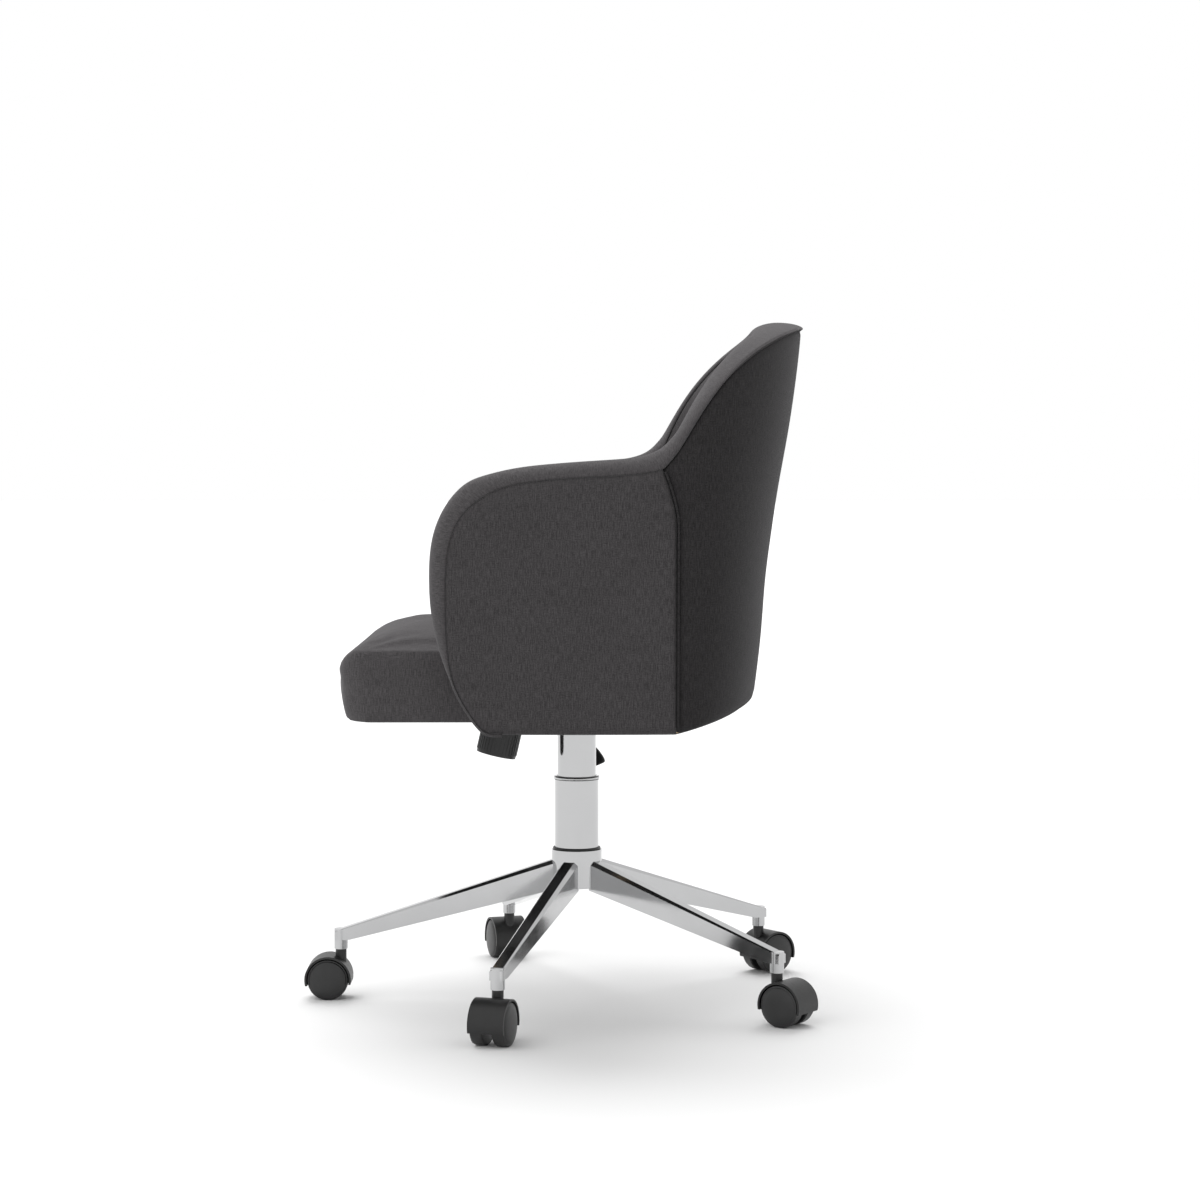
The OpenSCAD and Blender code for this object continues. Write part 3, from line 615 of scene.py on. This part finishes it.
def side_piping():
    """The thin piping down each upright side seam, on the back panel's side."""
    z = np.linspace(LOW_Z + 4 * MM, JOIN_Z - 2 * MM, 60)
    for side in ("left", "right"):
        p = 2.2 * MM - seam_pull(z, JOIN_Z)
        if side == "right":
            p = LENGTH - p
        line = wall(p, z, np.full_like(z, 0.2 * MM))
        obj = tube_along(f"piping_{side}", line, 1.3 * MM)
        # The piping takes the same darker cloth: painted shade on the back of the tub.
        finish_piece(obj, BACK_CLOTH_PAINTED_SHADE)


def cushion():
    """The seat cushion: the CAD solid remeshed, inflated as cloth and eased at its corners."""
    src = frame["nodes"]["seat_cushion"]
    mesh = src.data.copy()
    mesh.name = "cushion"
    obj = link(bpy.data.objects.new("cushion", mesh))
    remesh = obj.modifiers.new("remesh", "REMESH")
    remesh.mode = "VOXEL"
    remesh.voxel_size = 5 * MM
    bake(obj)
    co = vertices(obj)
    shape_cushion(co)
    set_vertices(obj, co)
    relax(obj, 3, 0.5)
    co = vertices(obj)
    inflate(obj, (co[:, 2] < BOARD_TOP + 3 * MM) | (co[:, 1] > 0.1), 4.0, 4 * MM)
    relax(obj, 3, 0.5)
    ease = obj.modifiers.new("ease", "SUBSURF")
    ease.levels = 1
    ease.render_levels = 1
    bake(obj)
    cushion_seams(obj)
    box_weave(obj)
    smooth(obj.data)
    return finish_piece(obj, MATERIALS["upholstery"], nodes=("seat_cushion",))


def bake(obj):
    """Applies an object's modifiers to its mesh."""
    deps = bpy.context.evaluated_depsgraph_get()
    deps.update()
    mesh = bpy.data.meshes.new_from_object(obj.evaluated_get(deps))
    obj.modifiers.clear()
    obj.data = mesh


def vertices(obj):
    """A mesh's points as an array."""
    co = np.empty(len(obj.data.vertices) * 3)
    obj.data.vertices.foreach_get("co", co)
    return co.reshape(-1, 3)


def set_vertices(obj, co):
    obj.data.vertices.foreach_set("co", co.ravel())
    obj.data.update()


def relax(obj, passes, factor):
    """Eases a mesh's points toward their neighbours."""
    mod = obj.modifiers.new("relax", "SMOOTH")
    mod.iterations = passes
    mod.factor = factor
    bake(obj)


def shape_cushion(co):
    """Draws the cushion's lower edge in and fills its upper front out a little."""
    front = np.clip((-0.12 - co[:, 1]) / 0.14, 0, 1)
    high = np.clip((co[:, 2] - 0.405) / 0.03, 0, 1)
    depth = np.clip((SEAT_LOW + 40 * MM - co[:, 2]) / (40 * MM), 0, 1) ** 2
    co[:, 0] *= 1 - 0.022 * depth
    co[:, 1] += (5 * depth - 4 * high + 3 * (1 - high)) * MM * front
    co[:, 2] += 1 * MM * high * front


def inflate(obj, held, pressure, cap):
    """Cloth simulation with inner pressure: the held points stay, and the cloth only swells."""
    start = vertices(obj)
    normal = normals(obj)
    group = obj.vertex_groups.new(name="held")
    group.add(np.where(held)[0].tolist(), 1.0, "REPLACE")
    cloth = obj.modifiers.new("cloth", "CLOTH")
    s = cloth.settings
    s.quality = 6
    s.mass = 0.3
    s.tension_stiffness = 14
    s.compression_stiffness = 12
    s.shear_stiffness = 6
    s.bending_stiffness = 1.2
    s.vertex_group_mass = "held"
    s.use_pressure = True
    s.uniform_pressure_force = pressure
    s.effector_weights.gravity = 0
    cloth.collision_settings.use_collision = False
    scene = bpy.context.scene
    for f in range(1, 21):
        scene.frame_set(f)
    bake(obj)
    move = vertices(obj) - start
    scene.frame_set(1)
    out = (move * normal).sum(1)[:, None]
    move += normal * (np.maximum(out, 0) - out)
    size = np.linalg.norm(move, axis=1)[:, None]
    set_vertices(obj, start + move * np.minimum(1, cap / np.maximum(size, 1e-9)))
    obj.vertex_groups.clear()


def normals(obj):
    """A mesh's point normals as an array."""
    out = np.empty(len(obj.data.vertices) * 3)
    obj.data.vertices.foreach_get("normal", out)
    return out.reshape(-1, 3)


def cushion_seams(obj):
    """A shallow seam round the cushion where its top meets its sides."""
    co = vertices(obj)
    gap = np.abs(co[:, 2] - (SEAT_TOP - TOP_SEAM))
    outer = (np.abs(co[:, 0]) > SEAT_HALF - 20 * MM) & (co[:, 1] > SEAT_FRONT + 50 * MM)
    depth = 1.2 * MM * np.exp(-(gap / VALLEY_W) ** 2) * outer
    set_vertices(obj, co - normals(obj) * depth[:, None])


def box_weave(obj):
    """Weave coordinates by the way each face looks: from above, from the side or from the front."""
    mesh = obj.data
    layer = mesh.uv_layers.get("weave") or mesh.uv_layers.new(name="weave")
    co = vertices(obj)
    uv = np.empty((len(mesh.loops), 2))
    for poly in mesh.polygons:
        n = poly.normal
        axis = 2 if abs(n.z) > 0.6 else (0 if abs(n.x) > abs(n.y) else 1)
        pick = {2: (0, 1), 0: (1, 2), 1: (0, 2)}[axis]
        for li in poly.loop_indices:
            c = co[mesh.loops[li].vertex_index]
            uv[li] = c[list(pick)]
    layer.data.foreach_set("uv", uv.ravel())


def tub_lining():
    """Black cloth closing the tub's underside: round the wall's foot, and under the seat board."""
    front = ARM_CREST[1][0] * MM - SEAM_Y
    p = np.concatenate([np.linspace(front, 0, 24)[:-1], np.linspace(0, LENGTH, 90),
                        np.linspace(LENGTH, LENGTH - front, 24)[1:]])
    profile = [(HEM_R - 2 * MM, 1.2 * MM), (FRAME_IN - 1 * MM, 0.6 * MM),
               (FRAME_IN + 1.5 * MM, 2.5 * MM), (FRAME_IN + 1.2 * MM, BOARD_LOW - LOW_Z - 0.4 * MM)]
    d = np.array([q[0] for q in profile])[None, :]
    rise = np.array([q[1] for q in profile])[None, :]
    z = foot_at(p)[:, None] + rise
    z[:, -1] = LOW_Z + rise[0, -1]
    pts = wall(p[:, None], z, d)
    uv = np.stack(np.broadcast_arrays(p[:, None], d), -1)
    obj = grid_object("tub_lining", pts, uv)
    thicken(obj, 1 * MM, 0.0)
    finish_piece(obj, MATERIALS["lining"])


def turned(name, profile, sides=64):
    """A piece turned round an upright axis from (radius, height) points, closed on itself."""
    ring = np.linspace(0, 2 * math.pi, sides, endpoint=False)
    r = np.array([q[0] for q in profile])[:, None] * MM
    z = np.array([q[1] for q in profile])[:, None] * MM
    pts = np.stack(np.broadcast_arrays(r * np.cos(ring), r * np.sin(ring), z), -1)
    uv = np.stack(np.broadcast_arrays(ring * 0.03, z), -1)
    return grid_object(name, pts, uv, flip=True, wrap=True)


def column_rings():
    """The bright collar on top of the outer tube, and the dark seal where it enters the hub."""
    collar = turned("column_collar", [(24.2, 274.4), (26.4, 274.4), (27.9, 273.6), (28.3, 272.2),
                                      (27.9, 270.9), (26.9, 270.4), (24.2, 270.4), (24.2, 274.4)])
    finish_piece(collar, MATERIALS["chrome"], body="base")
    seal = turned("hub_seal", [(27.1, 187.0), (28.4, 187.0), (29.2, 186.2), (29.2, 184.2), (27.1, 184.2),
                               (27.1, 187.0)])
    finish_piece(seal, MATERIALS["black_plastic"], body="base")


def lever_blade():
    """The paddle on the end of the height lever: a blade leaning back and down, cranked behind
    the rod's end. steps runs along it, w across it and t through it."""
    tip = np.array(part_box("lever_paddle")).mean(0)
    root, end = high("lever_paddle")[0], low("lever_paddle")[0]
    reach = np.array([end - root, 0, low("lever_paddle")[2] - high("lever_paddle")[2]])
    reach /= np.linalg.norm(reach)
    wide = np.array([0.0, 0.52, -0.85])
    wide -= reach * wide.dot(reach)
    wide /= np.linalg.norm(wide)
    thick = np.cross(reach, wide)
    steps = np.linspace(0, 1, 33)
    half = (root - end) * 0.5
    along = (steps * 2 - 1) * half
    body = 5 * MM + 12 * MM * np.sin(math.pi * np.clip(steps, 0.0, 1.0) ** 1.3) ** 0.7
    flat = (4.9 - 1.4 * steps) * MM
    cap = np.sqrt(np.maximum(1 - np.abs(steps * 2 - 1) ** 6, 0.0016))
    ring = np.linspace(0, 2 * math.pi, 32, endpoint=False)
    c, d = np.cos(ring), np.sin(ring)
    w = np.sign(c) * np.abs(c) ** 0.8 * (body * cap)[:, None]
    t = np.sign(d) * np.abs(d) ** 0.8 * (flat * cap)[:, None]
    crank = np.clip((steps - 0.48) / 0.36, 0, 1)[:, None]
    crank = crank ** 2 * (3 - 2 * crank)
    spine = tip + along[:, None] * reach + ((1 - crank) * (0, -12, -2) + crank * (0, 17, 11)) * MM
    pts = spine[:, None] + w[..., None] * wide + t[..., None] * thick
    uv = np.stack(np.broadcast_arrays(along[:, None], ring[None] * 0.01), -1)
    obj = grid_object("lever_blade", pts, uv, flip=True, wrap=True)
    close_ends(obj)
    finish_piece(obj, MATERIALS["black_plastic"], body="lever",
                 nodes=("lever_paddle",))


def close_ends(obj):
    """Fills the open ends of a swept piece and turns its faces outward."""
    bm = bmesh.new()
    bm.from_mesh(obj.data)
    bmesh.ops.holes_fill(bm, edges=[e for e in bm.edges if e.is_boundary])
    bmesh.ops.recalc_face_normals(bm, faces=bm.faces)
    bm.to_mesh(obj.data)
    bm.free()


def wheel_caps():
    """The slightly domed disc on the outside of each wheel."""
    for i in range(1, 6):
        for side in ("left", "right"):
            name = f"caster_{i}_wheel_{side}"
            other = f"caster_{i}_wheel_{'right' if side == 'left' else 'left'}"
            centre = np.array(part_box(name)).mean(0)
            away = centre - np.array(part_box(other)).mean(0)
            away[2] = 0
            away /= np.linalg.norm(away)
            mid = centre + away * 8 * MM
            profile = [(0.05, 2.6), (6, 2.5), (12, 2.1), (17, 1.4), (21.5, 0.4), (23.4, -0.8),
                       (0.05, -0.8)]
            obj = turned(f"wheel_cap_{i}_{side}", profile, sides=40)
            turn = Vector(away).to_track_quat("Z", "Y").to_matrix().to_4x4()
            obj.data.transform(Matrix.Translation(Vector(mid)) @ turn)
            close_ends(obj)
            finish_piece(obj, MATERIALS["wheel_plastic"], body=name)


# ---- studio --------------------------------------------------------------------

def studio():
    """A pale floor, white surroundings and two soft lights."""
    scene = bpy.context.scene
    scene.view_settings.view_transform = "Standard"
    scene.view_settings.look = "None"
    bpy.ops.mesh.primitive_plane_add(size=90, location=(0, 0, 0))
    floor = bpy.context.object
    floor.name = "floor"
    mat, tree, shader = new_material("floor_white")
    cloud = noise(tree, coords(tree), 1.5, 2.0)
    tint = ramp(tree, cloud, [(0.3, (0.60, 0.60, 0.60)), (0.7, (0.61, 0.61, 0.61))])
    tree.links.new(tint, shader.inputs["Base Color"])
    shader.inputs["Roughness"].default_value = 0.9
    shader.inputs["Specular IOR Level"].default_value = 0.1
    floor.data.materials.append(mat)
    world = bpy.data.worlds.new("studio")
    world.use_nodes = True
    back = world.node_tree.nodes["Background"]
    back.inputs["Color"].default_value = (1, 1, 1, 1)
    back.inputs["Strength"].default_value = 1.0
    scene.world = world
    sun("key", (-0.7, -0.1, 1.0), 3.1, 55)
    sun("fill", (0.6, -0.7, 0.7), 1.5, 70)


def sun(name, toward, strength, spread):
    """A soft light from far off, shining from the given direction."""
    data = bpy.data.lights.new(name, "SUN")
    data.energy = strength
    data.angle = math.radians(spread)
    obj = link(bpy.data.objects.new(name, data))
    obj.rotation_euler = Vector(toward).to_track_quat("Z", "Y").to_euler()
    obj.visible_glossy = False


def camera():
    """85 mm lens, from the chair's left, a little above the arms."""
    data = bpy.data.cameras.new("camera")
    data.lens = 85
    data.sensor_width = 36
    data.clip_end = 60
    obj = link(bpy.data.objects.new("camera", data))
    pan, pitch = math.radians(0.473), math.radians(2.763)
    obj.location = (3.4642, 0, 0.657)
    look = Vector((-math.cos(pan) * math.cos(pitch), math.sin(pan) * math.cos(pitch), -math.sin(pitch)))
    obj.rotation_euler = look.to_track_quat("-Z", "Y").to_euler()
    bpy.context.scene.camera = obj


camera()
studio()
dress_frame()
edge_band()
outer_panels()
inner_panels()
side_piping()
cushion()
tub_lining()
column_rings()
lever_blade()
wheel_caps()
